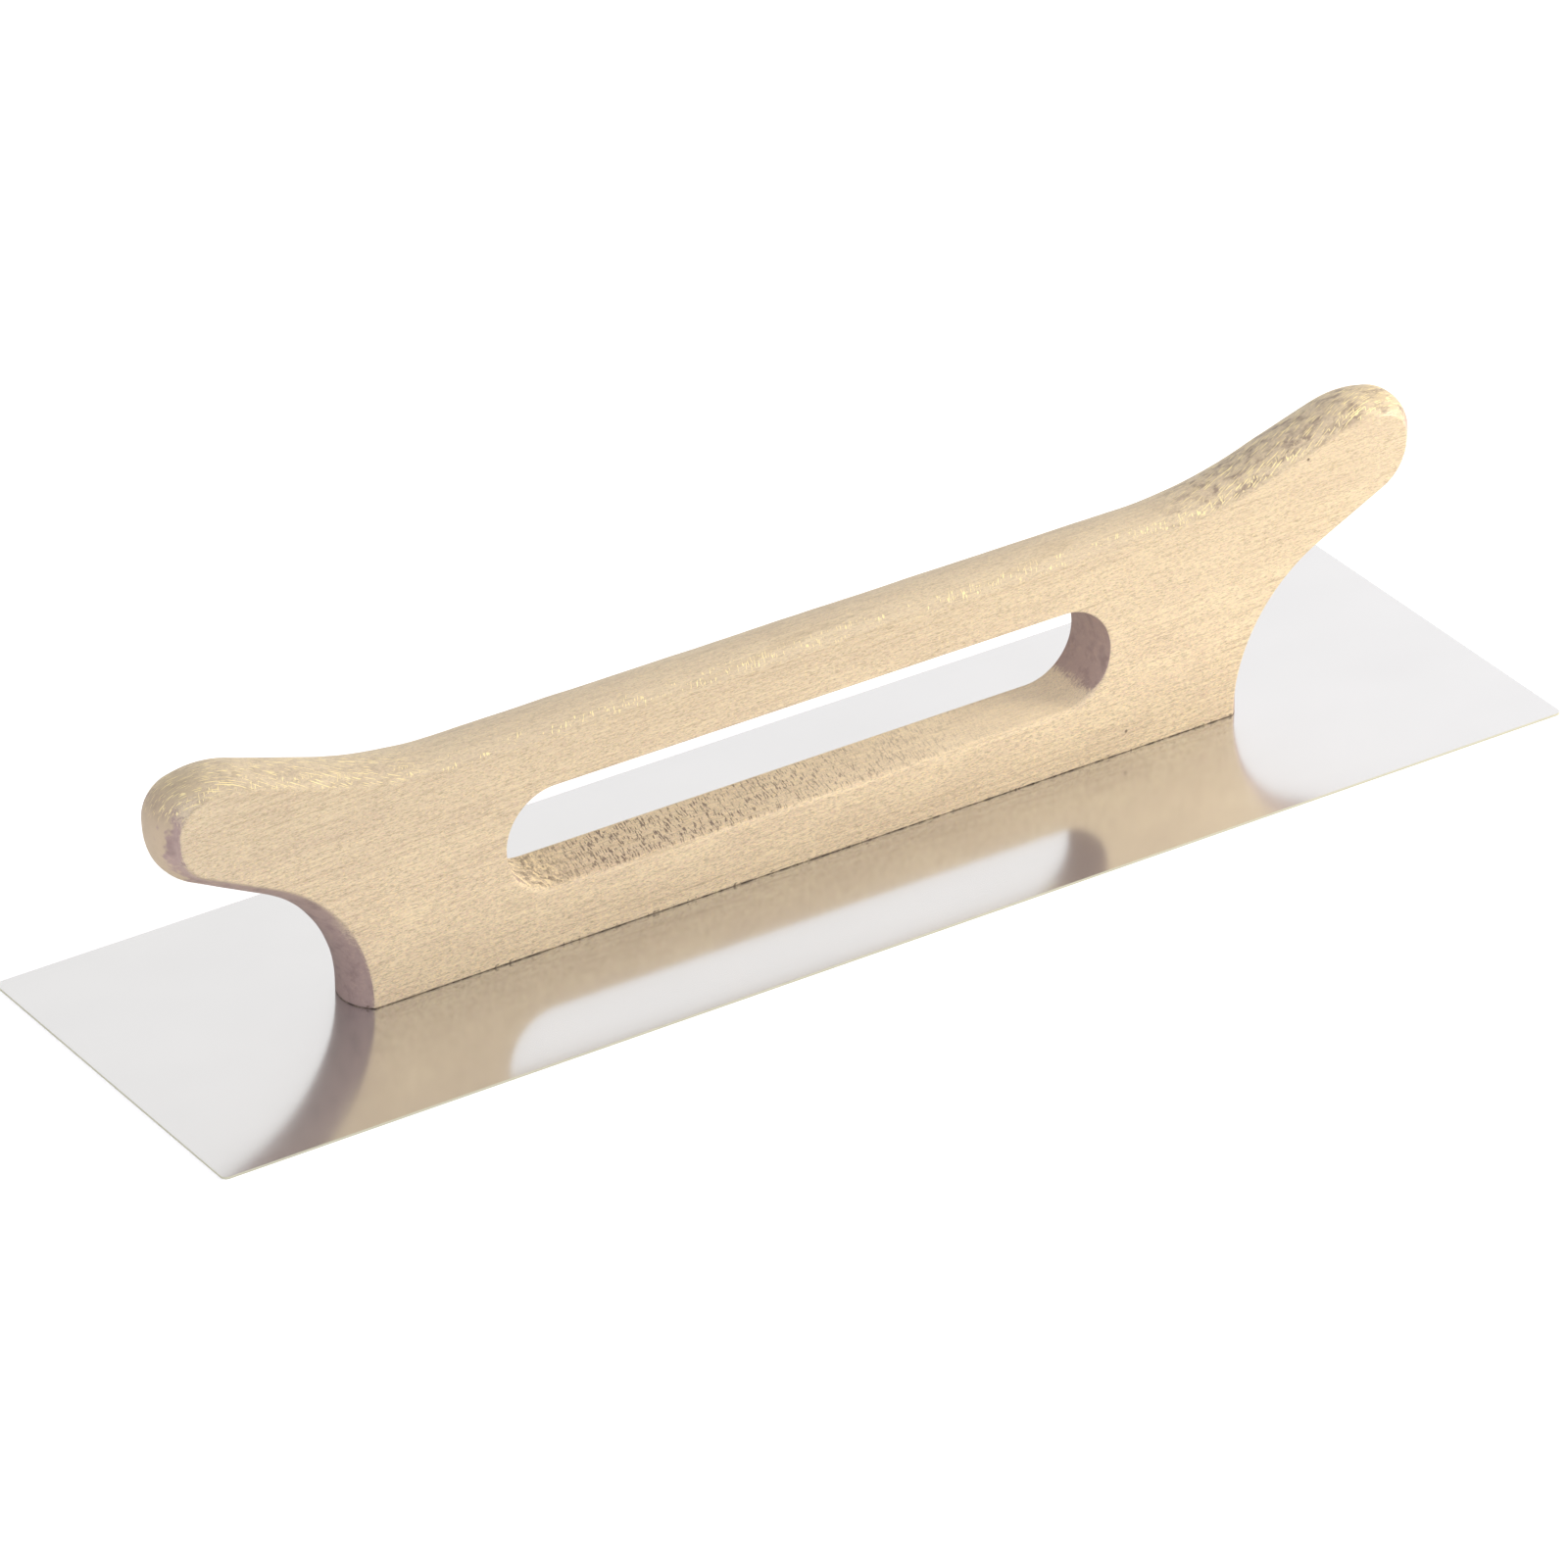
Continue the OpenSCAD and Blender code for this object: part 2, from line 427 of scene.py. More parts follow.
def drill(bm, x):
    """One countersunk blind hole, open at the foot. Gives the ring round its mouth."""
    radius = HOLE[0][0]
    mouth = bmesh.ops.create_circle(bm, segments=HOLE_SEGMENTS, radius=radius,
                                    matrix=Matrix.Translation((x, 0, FOOT_Z)))["verts"]
    first = list(dict.fromkeys(e for v in mouth for e in v.link_edges))
    ring = first
    for r, z in HOLE[1:]:
        made = bmesh.ops.extrude_edge_only(bm, edges=ring)["geom"]
        ring = [g for g in made if isinstance(g, bmesh.types.BMEdge)]
        verts = [g for g in made if isinstance(g, bmesh.types.BMVert)]
        bmesh.ops.scale(bm, vec=(r / radius, r / radius, 1), verts=verts,
                        space=Matrix.Translation((-x, 0, 0)))
        for v in verts:
            v.co.z = z
        radius = r
    bmesh.ops.contextual_create(bm, geom=ring)
    return first


def add_foot(bm):
    """Saws the foot, drills it, and fills its face round the holes."""
    rings = saw_foot(bm)
    for name in screws:
        low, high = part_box(name)
        rings = rings + drill(bm, (low.x + high.x) / 2 / MM)
    bmesh.ops.triangle_fill(bm, use_beauty=True, edges=rings, normal=(0, 0, -1))


print("screw holes:", len(screws), "of", 2 * HOLE[-1][0], "mm")

# %% [markdown]
# ## Handle: half of the plank
# The two faces have different lips, so a mirror can't make one from the other.
# Each half of the thickness is built on its own in a passing mesh: edge, slot
# wall, and one fill for the flat face between them.

# %% Two halves of the plank
def add_half(bm, side):
    """One half of the plank's thickness: convex edge, slot wall and the flat face between."""
    half = bmesh.new()
    outer = add_convex_edge(half, side)
    inner = add_slot_half(half, side)
    bmesh.ops.triangle_fill(half, use_beauty=True, edges=outer + inner, normal=(0, side, 0))
    passing = bpy.data.meshes.new("half")
    half.to_mesh(passing)
    half.free()
    bm.from_mesh(passing)
    bpy.data.meshes.remove(passing)


print("plank:", round(2 * PLANK_HALF, 1), "mm thick, in two halves")

# %% [markdown]
# ## Handle: sanded by hand
# Hand work leaves an unevenness of a tenth of a millimetre, which takes the
# machine look off an edge when light runs along it. Noise moves the points, the
# same on each run. Two values are stored on them as well, for the finish: how
# far a point lies on the shaped edge, and how far it lies in the slot.

# %% Hand-sanded unevenness
# Depth and lengths of the cutter's ripples in the slot
RIPPLE = 0.07
RIPPLE_LENGTH = 5
RIPPLE_FINE = 1.9
# Depth and lengths of the waves that sanding leaves on the convex edge
WAVE = 0.16
WAVE_NEAR = (9, 6, 9)
WAVE_FAR = 26
NEAR_SHARE = 0.6
# Both only cut into the wood: noise is taken down by these before it is used
RIPPLE_SINK = 0.9
WAVE_SINK = 1.2
# How far past the slot's wall its lips reach
LIP_REACH = 4
# How far behind the flat face a point has to lie before it counts as shaped
OFF_FACE = (0.1, 1.2)
# The waves fade in over these distances, behind the face and above the foot
WAVE_EASE = (-0.4, 0.8)
ABOVE_FOOT = (1, 6)


def roughen(bm):
    """Stores where the edge and the slot are, and moves those points by a hair."""
    shaped = bm.verts.layers.float.new("shaped")
    slot = bm.verts.layers.float.new("slot")
    bm.normal_update()
    moves = {}
    for v in bm.verts:
        outward, distance = from_slot(v.co)
        behind = PLANK_HALF - abs(v.co.y)
        off_face = smooth_step(*OFF_FACE, behind)
        in_slot = distance < SLOT_RADIUS + LIP_REACH
        above_foot = smooth_step(*ABOVE_FOOT, v.co.z - FOOT_Z)
        v[slot] = off_face if in_slot else 0
        v[shaped] = 0 if in_slot else off_face * smooth_step(0, 1, v.co.z - FOOT_Z)
        if in_slot:
            ripple = noise.noise(v.co / RIPPLE_LENGTH) + noise.noise(v.co / RIPPLE_FINE)
            moves[v] = v.normal * RIPPLE * (ripple - RIPPLE_SINK) * off_face
        elif v.co.z > FOOT_Z + ABOVE_FOOT[0]:
            near = noise.noise(Vector(c / length for c, length in zip(v.co, WAVE_NEAR)))
            wave = NEAR_SHARE * near + noise.noise(v.co / WAVE_FAR)
            ease = smooth_step(*WAVE_EASE, behind)
            moves[v] = v.normal * WAVE * (wave - WAVE_SINK) * ease * above_foot * off_face
    for v, move in moves.items():
        v.co += move


print("unevenness: up to", WAVE, "mm on the edge and", RIPPLE, "mm in the slot")

# %% [markdown]
# ## Handle: one closed plank
# The halves are joined along the middle plane by merging their points, then the
# foot is sawn and drilled through both. A closed mesh has a volume and no open
# edges, so both are printed, and the sizes are set beside the CAD solid's.

# %% The whole handle
# An edge that turns more than this stays sharp in the light
SHARP = radians(38)


def make_handle():
    """The carved handle as one closed mesh."""
    bm = bmesh.new()
    for side in (-1, 1):
        add_half(bm, side)
    bmesh.ops.remove_doubles(bm, verts=bm.verts[:], dist=TINY)
    add_foot(bm)
    bmesh.ops.remove_doubles(bm, verts=bm.verts[:], dist=TINY)
    bmesh.ops.recalc_face_normals(bm, faces=bm.faces[:])
    roughen(bm)
    for face in bm.faces:
        face.smooth = True
    for edge in bm.edges:
        edge.smooth = len(edge.link_faces) == 2 and edge.calc_face_angle() < SHARP
    open_edges = sum(not e.is_manifold for e in bm.edges)
    print("handle:", len(bm.faces), "faces,", open_edges, "open edges, volume",
          round(bm.calc_volume(signed=True)), "mm3")
    bmesh.ops.scale(bm, vec=(MM, MM, MM), verts=bm.verts[:])
    mesh = bpy.data.meshes.new("handle_carved")
    bm.to_mesh(mesh)
    bm.free()
    piece = bpy.data.objects.new("handle_carved", mesh)
    bpy.context.scene.collection.objects.link(piece)
    return piece


handle = make_handle()
for name, axis in (("x", 0), ("y", 1), ("z", 2)):
    values = [v.co[axis] for v in handle.data.vertices]
    print(name, "carved", round(min(values) / MM, 3), round(max(values) / MM, 3),
          "CAD", round(handle_low[axis] / MM, 3), round(handle_high[axis] / MM, 3))

# %% [markdown]
# ## Finishes: small helpers
# Every finish is a handful of shader nodes. One function turns a colour as
# seen on a screen into the linear values that the shader works in, and one adds
# a node with its settings and links. Two more start a material and put it on.

# %% Helpers for materials
def linear(hex_colour, alpha=1):
    """sRGB hex to linear RGBA."""
    parts = [int(hex_colour[i:i + 2], 16) / 255 for i in (1, 3, 5)]
    return [c / 12.92 if c <= 0.04045 else ((c + 0.055) / 1.055) ** 2.4 for c in parts] + [alpha]


def add(tree, kind, inputs=None, **settings):
    """Adds one node. Inputs go by name or number, and take a value or what is linked to them."""
    made = tree.nodes.new("ShaderNode" + kind)
    for name, value in settings.items():
        setattr(made, name, value)
    for name, value in (inputs or {}).items():
        socket = made.inputs[name] if isinstance(name, int) else next(
            s for s in made.inputs if s.name == name and s.enabled)
        if isinstance(value, bpy.types.Node):
            value = next(s for s in value.outputs if s.enabled)
        if isinstance(value, bpy.types.NodeSocket):
            tree.links.new(value, socket)
        else:
            socket.default_value = value
    return made


def new_material(name):
    """An empty material, its node tree and a node that gives Object coordinates."""
    material = bpy.data.materials.new(name)
    material.use_nodes = True
    material.node_tree.nodes.clear()
    return material, material.node_tree, add(material.node_tree, "TexCoord")


def dress(piece, material):
    """The material becomes the piece's only one."""
    piece.data.materials.clear()
    piece.data.materials.append(material)


print("a middle grey is", [round(c, 3) for c in linear("#808080")])

# %% [markdown]
# ## Marks in a finish
# A finish is built up as a painter would do it: a plain ground, then one stain
# after another, each held back by masks. A mask is a place on the piece, such as
# the horns, or a pattern, such as flecks, faded in between two of its values. The
# stains go on in order, so a later mark lies on top of an earlier one.

# %% Patterns, masks and stains
def per_mm(*sizes):
    """Mapping scale that makes one unit of a pattern that many millimetres long."""
    return [1 / (size * MM) for size in sizes]


def grain(tree, place, sizes, detail=2, rough=0.5, turn=(0, 0, 0)):
    """Noise with blots of these sizes in millimetres, turned first and stretched after."""
    turned = add(tree, "Mapping", {"Vector": place, "Rotation": turn})
    laid = add(tree, "Mapping", {"Vector": turned, "Scale": per_mm(*sizes)})
    return add(tree, "TexNoise", {"Vector": laid, "Scale": 1, "Detail": detail,
                                  "Roughness": rough})


def overlap(tree, *masks):
    """Product of masks. One written (value, low, high, strength) fades in from low to high."""
    whole = None
    for mask in masks:
        if isinstance(mask, tuple):
            value, low, high, *strength = mask
            mask = add(tree, "MapRange", {"Value": value, "From Min": low, "From Max": high,
                                          "To Max": strength[0] if strength else 1.0})
        if whole is None:
            whole = mask
        else:
            whole = add(tree, "Math", {0: whole, 1: mask}, operation="MULTIPLY")
    return whole


def stain(tree, colour, hex_colour, *masks):
    """Lays a colour over what is there, as strongly as all the masks together."""
    return add(tree, "Mix", {"Factor": overlap(tree, *masks), "A": colour,
                             "B": linear(hex_colour)}, data_type="RGBA")


print("a 2 mm pattern has a scale of", per_mm(2)[0])

# %% [markdown]
# ## Beech, planed and sanded, oiled once
# Beech is pale and even. What the eye finds on it are short darker flecks along
# the grain, faint growth lines that run at a small angle to the edge, and soft
# clouds of pinker and yellower wood. A picture wrapped round the handle would
# break at each edge, so the pattern is laid in the plank as a solid, with long
# scales along the grain and short ones across. First the places and patterns
# that several marks share are worked out once.

# %% Places on the plank
GRAIN_TILT = radians(1.6)
# Clouds in the wood, patches where the cutter tore, and scuffs from the sanding belt
CLOUD = (38, 9, 9)
PATCH = (14, 3.5, 3.5)
SCUFF = (4.5, 0.8, 0.8)


def read_plank(tree, place):
    """Places and directions on the plank, and the patterns that several marks share."""
    spot = place.outputs["Object"]
    axes = add(tree, "SeparateXYZ", {0: spot})
    normal = add(tree, "SeparateXYZ", {0: place.outputs["Normal"]})
    tilted = add(tree, "Mapping", {"Vector": spot, "Rotation": (0, GRAIN_TILT, 0)})
    shaped = add(tree, "Attribute", attribute_name="shaped").outputs["Fac"]
    return SimpleNamespace(
        spot=spot,
        tilted=tilted,
        shaped=shaped,
        slot=add(tree, "Attribute", attribute_name="slot").outputs["Fac"],
        x=axes.outputs["X"],
        y=axes.outputs["Y"],
        z=axes.outputs["Z"],
        outward=add(tree, "Math", {0: axes.outputs["X"]}, operation="ABSOLUTE"),
        across=add(tree, "Math", {0: axes.outputs["Y"]}, operation="ABSOLUTE"),
        facing_end=add(tree, "Math", {0: normal.outputs["X"]}, operation="ABSOLUTE"),
        facing_up=normal.outputs["Z"],
        upward=overlap(tree, (normal.outputs["Z"], 0.25, 0.5), shaped),
        cloud=grain(tree, tilted, CLOUD, 4, 0.6),
        patch=grain(tree, tilted, PATCH, 2, 0.6),
        scuff=grain(tree, tilted, SCUFF, 3, 0.7),
    )


print("grain: clouds", CLOUD, "patches", PATCH, "scuffs", SCUFF, "mm")

# %% [markdown]
# ## Beech: the sanded faces
# Rays and vessels show as specks of three hues: pink, straw and olive grey. One
# noise gives three patterns that don't match, in its three colours, and that
# costs less than three noises. Growth lines are thin shells round a pith far
# below the plank, so on the face they come out as long, nearly straight lines.

# %% Sanded faces
# Vessels and rays are a tenth of a millimetre wide; they are drawn three times coarser to show
SPECK = (1.0, 0.3, 0.3)
FLECK = (1.7, 0.3, 0.3)
# Bands of earlier and later wood, long along the grain
STREAK = (30, 0.8, 0.8)
# Growth lines: distance from one to the next, where the pith is, and where they show
RING_SPACING = 2.3
RING_STRETCH = (60, 1, 1)
RING_REACH = (90, 14, 14)
PITH = (0, 70, -150)
# A wave texture of scale 1 repeats after this length
WAVE_PERIOD = 0.314


def sanded_ground(tree, plank):
    """Pale wood in soft clouds, with specks of three hues and dull scuffs."""
    three = grain(tree, plank.tilted, SPECK, 2, 0.6).outputs["Color"]
    speck = add(tree, "SeparateColor", {0: three}).outputs
    colour = stain(tree, linear("#E9D6B8"), "#DECAB0", (plank.cloud, 0.36, 0.64))
    colour = stain(tree, colour, "#D9B3A4", (speck[0], 0.52, 0.66, 0.65))
    colour = stain(tree, colour, "#FFE6AE", (speck[1], 0.52, 0.66, 0.7))
    colour = stain(tree, colour, "#AFA684", (speck[2], 0.54, 0.68, 0.65))
    return stain(tree, colour, "#B5A588", (plank.scuff, 0.54, 0.74, 0.5))


def growth(tree, plank, colour):
    """Growth lines, streaks and flecks. Also gives the dark flecks, which are hollows."""
    laid = add(tree, "Mapping", {"Vector": plank.tilted, "Location": [-c for c in PITH],
                                 "Scale": per_mm(*RING_STRETCH)})
    rings = add(tree, "TexWave", {"Vector": laid, "Scale": WAVE_PERIOD / RING_SPACING,
                                  "Distortion": 5.0, "Detail": 3, "Detail Scale": 0.22},
                wave_type="RINGS", rings_direction="X")
    reach = grain(tree, plank.spot, RING_REACH)
    colour = stain(tree, colour, "#BFA583", (rings, 0.86, 1.0, 0.36), (reach, 0.45, 0.62))
    streak = grain(tree, plank.tilted, STREAK, 2, 0.6)
    colour = stain(tree, colour, "#B7A286", (streak, 0.56, 0.68, 0.4))
    colour = stain(tree, colour, "#F8E6C0", (streak, 0.44, 0.32, 0.4))
    fleck = grain(tree, plank.tilted, FLECK, 2, 0.6)
    dark = overlap(tree, (fleck, 0.55, 0.68, 0.55))
    colour = stain(tree, colour, "#9F8C72", dark)
    return stain(tree, colour, "#F8E8BE", (fleck, 0.45, 0.3, 0.45)), dark


print("growth lines:", RING_SPACING, "mm apart")

# %% [markdown]
# ## Beech: shaped edges and end grain
# The convex edge is sanded by hand and keeps dull patches, and the wood is
# painted a little darker towards the top, which is painted shade. Across the
# grain, on the ends, beech drinks more oil and turns darker, and the purple in
# its mottled brown is painted shade; under the horns the mottled purple brown is
# painted shade only. Where that starts is ragged, because scuffs shift the angle
# that it depends on.

# %% Shaped edges and end grain
# Heights between which the wood is painted darker towards the top, as painted shade
PAINTED_SHADE_HEIGHTS = (28 * MM, 72 * MM)
# Part of the slot that is painted paler, as painted light, from left to right
SLOT_PALE = (-20 * MM, 50 * MM)
# Where the under side of a horn starts, on either side of the middle
HORN_UNDER = (160 * MM, 168 * MM)
# How much a scuff shifts the edge of the end grain, and of the horn's under side
END_RAGGED = 0.35
UNDER_RAGGED = -0.3
MOTTLE = (1.6, 2.2, 1.6)
BLOTCH = (5, 5, 5)


def shaped_edges(tree, plank, colour):
    """Dull patches on the convex edge, painted shade that darkens the upper part, and a slot
    painted paler as painted light.
    """
    colour = stain(tree, colour, "#988A74", (plank.scuff, 0.52, 0.7, 0.42),
                   (plank.patch, 0.42, 0.6), plank.shaped)
    # Painted shade: the wood is painted darker towards the top.
    colour = stain(tree, colour, "#9A8B75", (plank.z, *PAINTED_SHADE_HEIGHTS, 0.27))
    colour = stain(tree, colour, "#EEDCC0", plank.shaped, 0.2)
    return stain(tree, colour, "#FFEFD2", (plank.x, *SLOT_PALE, 0.3), plank.slot)


def end_grain_and_shade(tree, plank, colour):
    """Mottled end grain on the ends, its purple partly painted shade, and painted shade under the
    horns.
    """
    ragged = add(tree, "Math", {0: plank.scuff, 1: END_RAGGED, 2: plank.facing_end},
                 operation="MULTIPLY_ADD")
    ends = add(tree, "MapRange", {"Value": ragged, "From Min": 0.7, "From Max": 0.88,
                                  "To Max": 0.85}, interpolation_type="SMOOTHSTEP")
    low = add(tree, "Math", {0: plank.scuff, 1: UNDER_RAGGED, 2: plank.facing_up},
              operation="MULTIPLY_ADD")
    # Painted shade under the horns, where the convex edge faces down.
    under = overlap(tree, (low, -0.25, -0.5, 0.8), (plank.outward, *HORN_UNDER), plank.shaped)
    grain_and_shade_mask = add(tree, "Math", {0: ends, 1: under}, operation="MAXIMUM")
    # Purple brown: darker end grain with painted shade in its tint, and painted shade under the
    # horns.
    colour = stain(tree, colour, "#A68D8A", grain_and_shade_mask)
    mottle = grain(tree, plank.spot, MOTTLE, 4, 0.7)
    colour = stain(tree, colour, "#C4A99A", (mottle, 0.5, 0.66, 0.5), grain_and_shade_mask)
    blotch = grain(tree, plank.spot, BLOTCH, 3, 0.6)
    return stain(tree, colour, "#75605F", (blotch, 0.5, 0.68, 0.4), grain_and_shade_mask)


print("end grain: mottle", MOTTLE, "mm, under the horns from", HORN_UNDER[0] / MM, "mm out")

# %% [markdown]
# ## Beech: torn horns
# On top of each horn the cutter ran against the grain, bruised the wood dark and
# lifted pale slivers. The dark blots are partly painted shade, full on the right
# horn, whose top faces the dim side, and weaker on the left. A sliver is long and
# thin, so its noise is stretched, but only after it is turned to the slope of the
# horn. Both horns share one pattern, folded at the middle, so that the slivers
# lean the right way on each.

# %% Torn horns
HORN_SLOPE = radians(24)
# From where the horns are torn, and where their worn tips begin
HORN_TOP = (125 * MM, 150 * MM)
HORN_TIP = (203 * MM, 212 * MM)
# The left horn gets this much of the bruises and painted shade for each whole one on the right
LEFT_BRUISE_AND_SHADE = 0.35
# The bare tip ends raggedly across the plank: how far patches shift its edge
TIP_RAGGED = 16 * MM
TIP_ACROSS = (15.6 * MM, 13.4 * MM)
BRUISE_AND_SHADE = (6, 2.6, 4)
SLIVER = (5, 0.28, 3)
SLIVER_LEAN = radians(-14)
# Short ticks along the ridge between the convex edge and the face
RIDGE_TICK = (0.5, 2.4, 1.8)
RIDGE_LEAN = radians(25)
RIDGE = (5.5 * MM, 7.5 * MM)


def torn_horns(tree, plank, colour):
    """Worn tips, bruises with painted shade, and slivers. Also gives the slivers, which stand up.
    """
    folded = add(tree, "CombineXYZ", {"X": plank.outward, "Y": plank.y, "Z": plank.z})
    wander = add(tree, "Math", {0: plank.patch, 1: TIP_RAGGED, 2: plank.across},
                 operation="MULTIPLY_ADD")
    colour = stain(tree, colour, "#CDBA9A", (plank.outward, *HORN_TIP),
                   (wander, *TIP_ACROSS, 0.75))
    on_horn = overlap(tree, (plank.outward, *HORN_TOP), plank.upward)
    bruise_and_shade = grain(tree, folded, BRUISE_AND_SHADE, 4, 0.65, (0, HORN_SLOPE, 0))
    side = add(tree, "MapRange", {"Value": plank.x, "From Min": -HORN_TOP[0],
                                  "From Max": HORN_TOP[0], "To Min": LEFT_BRUISE_AND_SHADE})
    # Dark blots on the horn tops: torn bruises, with painted shade strongest on the right horn.
    colour = stain(tree, colour, "#7F6C66", (bruise_and_shade, 0.48, 0.64, 0.68), side, on_horn)
    torn = grain(tree, folded, SLIVER, 1, 0.4, (0, HORN_SLOPE, SLIVER_LEAN))
    torn = overlap(tree, (torn, 0.62, 0.66), on_horn)
    lifted = grain(tree, plank.spot, RIDGE_TICK, 1, 0.4, (0, 0, RIDGE_LEAN))
    lifted = overlap(tree, (lifted, 0.61, 0.65), (plank.across, *RIDGE),
                     (plank.patch, 0.46, 0.54), plank.upward)
    sliver = add(tree, "Math", {0: torn, 1: lifted}, operation="MAXIMUM")
    return stain(tree, colour, "#FFECB4", sliver), sliver


print("slivers:", SLIVER[0], "mm long and", SLIVER[1], "mm wide")

# %% [markdown]
# ## Beech: the slot, the joint and pin knots
# The router left a row of dark ticks across the slot's floor, and chewed its
# left end. Along the foot a wavering dark line of painted shade lies between wood
# and steel, with small chips of painted shade above it. Three pin knots are at
# set places on the front face.

# %% Slot, joint and knots
TICK = (0.55, 3, 3)
TICK_LEAN = radians(14)
TICK_GROUP = (22, 9, 30)
# The ticks fade in from the slot's left end, and out again towards its right end
TICKS_IN = (-106 * MM, -72 * MM)
TICKS_OUT = (78 * MM, -20 * MM)
CHEWED_END = (-79 * MM, -90 * MM)
CHEWED = (2, 3, 2)
FRAYED = (2, 3, 0.6)
FRAYED_LEAN = radians(-30)
# Heights between which the painted shade of the joint's line, and of the chips above it, fades in
JOINT_SHADE_HEIGHTS = ((FOOT_Z + 0.7) * MM, (FOOT_Z + 0.2) * MM)
JOINT_SHADE_BLOT = (4, 4, 3)
CHIP_SHADE_HEIGHTS = ((FOOT_Z + 1.5) * MM, (FOOT_Z + 0.8) * MM)
CHIP_SHADE_BLOT = (1.7, 2, 1.3)
# Pin knots: place along the plank and height, and where their edge fades in
PIN_KNOTS = [(86.9, 76.9), (114.7, 8.2), (181.4, 82.0)]
KNOT_EDGE = (0.7 * MM, 0.35 * MM)


def slot_marks(tree, plank, colour):
    """Ticks and a chewed end in the slot. Also gives the ticks, which are hollows."""
    ticks = grain(tree, plank.spot, TICK, 2, 0.6, (0, 0, TICK_LEAN))
    groups = grain(tree, plank.spot, TICK_GROUP, 1)
    ticks = overlap(tree, (ticks, 0.53, 0.62, 0.85), (groups, 0.22, 0.44),
                    (plank.x, *TICKS_IN), (plank.x, *TICKS_OUT), plank.slot)
    colour = stain(tree, colour, "#6C5850", ticks)
    end = overlap(tree, (plank.x, *CHEWED_END), plank.slot)
    chewed = grain(tree, plank.spot, CHEWED, 3, 0.7)
    colour = stain(tree, colour, "#86735F", (chewed, 0.48, 0.6, 0.75), end)
    frayed = grain(tree, plank.spot, FRAYED, 2, 0.5, (0, FRAYED_LEAN, 0))
    return stain(tree, colour, "#F6E2BA", (frayed, 0.53, 0.6), end), ticks


def joint_and_knots(tree, plank, colour):
    """Painted shade in the dark line above the steel and in chips over it, and pin knots on the
    front face.
    """
    joint_shade = grain(tree, plank.spot, JOINT_SHADE_BLOT, 4, 0.7)
    # Painted shade: a wavering dark line in the gap where wood meets steel.
    colour = stain(tree, colour, "#65574A", (plank.z, *JOINT_SHADE_HEIGHTS, 0.9), (joint_shade, 0.36, 0.62))
    chip_shade = grain(tree, plank.spot, CHIP_SHADE_BLOT)
    # Painted shade in small chips just above that line.
    colour = stain(tree, colour, "#665344", (plank.z, *CHIP_SHADE_HEIGHTS, 0.8), (chip_shade, 0.6, 0.68))
    for x, z in PIN_KNOTS:
        away = add(tree, "VectorMath", {0: plank.spot, 1: (x * MM, -PLANK_HALF * MM, z * MM)},
                   operation="DISTANCE").outputs["Value"]
        colour = stain(tree, colour, "#5E4C42", (away, *KNOT_EDGE, 0.8))
    return colour


print("pin knots:", len(PIN_KNOTS))

# %% [markdown]
# ## Beech: the whole finish
# Oil leaves the wood half matt, and hands have burnished the corners of the
# horns. Flecks and ticks are hollows and slivers stand up, so one height made of
# the three drives the bump, and shade falls where the colour says it should.

# %% Beech, and the handle dressed in it
BUMP_DEPTH = 0.12 * MM
# Where the burnished corners of the horns are, outwards and across the plank
WORN = (196 * MM, 210 * MM)
WORN_ACROSS = (8.2 * MM, 9.6 * MM)
WORN_ROUGHNESS = 0.24


def beech_material():
    """Sanded beech with flecks, growth lines, end grain, torn horns and cutter ticks."""
    material, tree, place = new_material("beech_sanded_oiled")
    plank = read_plank(tree, place)
    colour, flecks = growth(tree, plank, sanded_ground(tree, plank))
    colour = end_grain_and_shade(tree, plank, shaped_edges(tree, plank, colour))
    colour, slivers = torn_horns(tree, plank, colour)
    colour, ticks = slot_marks(tree, plank, colour)
    colour = joint_and_knots(tree, plank, colour)
    hollows = add(tree, "Math", {0: flecks, 1: ticks}, operation="ADD")
    height = add(tree, "Math", {0: slivers, 1: hollows}, operation="SUBTRACT")
    bump = add(tree, "Bump", {"Height": height, "Strength": 0.4, "Distance": BUMP_DEPTH})
    worn = overlap(tree, (plank.outward, *WORN), (plank.across, *WORN_ACROSS))
    oiled = add(tree, "MapRange", {"Value": plank.cloud, "To Min": 0.5, "To Max": 0.68})
    roughness = add(tree, "Mix", {"Factor": worn, "A": oiled, "B": WORN_ROUGHNESS})
    wood = add(tree, "BsdfPrincipled", {"Base Color": colour, "Roughness": roughness,
                                        "Specular IOR Level": 0.4, "Normal": bump})
    add(tree, "OutputMaterial", {"Surface": wood})
    print("beech:", len(tree.nodes), "nodes")
    return material


dress(handle, beech_material())
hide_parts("handle")
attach(handle, "root")

# %% [markdown]
# ## Stainless steel, cold rolled and polished
# The sheet is bright enough to show the handle upside down in it, sharp where
# they touch and softer further out, which is what a roughness just above zero
# does. The polish also scatters a little light, which one roughness can't give,
# so a second, duller steel is mixed in. The sheared edge is matt and darker.

# %% Blade
# Share of the light that the polish scatters, and so washes out what it mirrors
HAZE = 0.2
HAZE_ROUGHNESS = 0.55
EDGE_ROUGHNESS = 0.6
# Roughness between rolling lines, from the smoothest to the dullest, and added by a cloud
SHEEN = (0.08, 0.15)
CLOUD_SHEEN = 0.03
# A place counts as the sheet's face, not its edge or a dimple's wall, when it is this level
FACE_LEVEL = (0.55, 0.65)
# Rolling lines run along the sheet. They are drawn coarser than real ones, to show
ROLLING_LINE = (60, 0.7, 0.7)
POLISH_CLOUD = (45, 30, 30)


